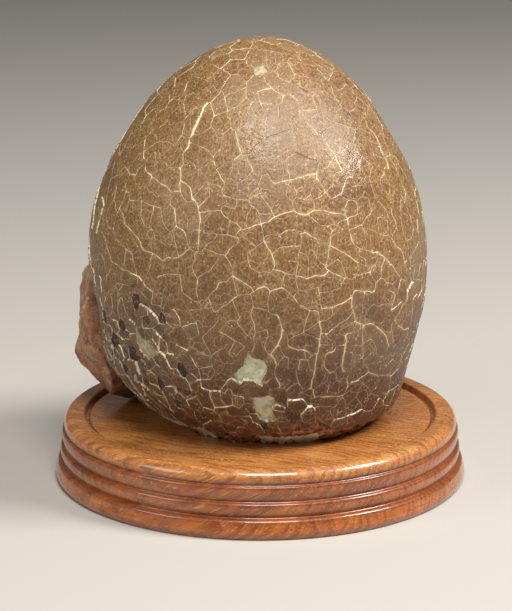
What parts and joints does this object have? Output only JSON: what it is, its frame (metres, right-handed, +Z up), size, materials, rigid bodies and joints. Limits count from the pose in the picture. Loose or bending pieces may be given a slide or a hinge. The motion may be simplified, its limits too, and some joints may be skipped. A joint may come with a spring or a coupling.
{
  "type": "fossil dinosaur egg",
  "caption": "Fossil dinosaur egg with a crackled brown shell and a lump of matrix, standing on its broken foot on a round turned wooden display base.",
  "frame": {"origin": "centre of the wooden base's underside", "axes": "+Z up, the egg's long axis; -Y is the front; +X is to the right as seen from the front"},
  "size_m": [0.152, 0.152, 0.1623],
  "materials": {
    "fossil_eggshell": "fine-grained brown fossil shell, satin where it is rubbed, with pale mineral in its cracks",
    "lacquered_wood": "orange-brown straight-grained hardwood under a clear gloss lacquer",
    "red_mudstone": "rough matt pinkish-red mudstone with pale green-grey patches"
  },
  "bodies": {
    "root": {"fossil_egg": "fossil_eggshell", "wooden_base": "lacquered_wood"}
  },
  "joints": []
}
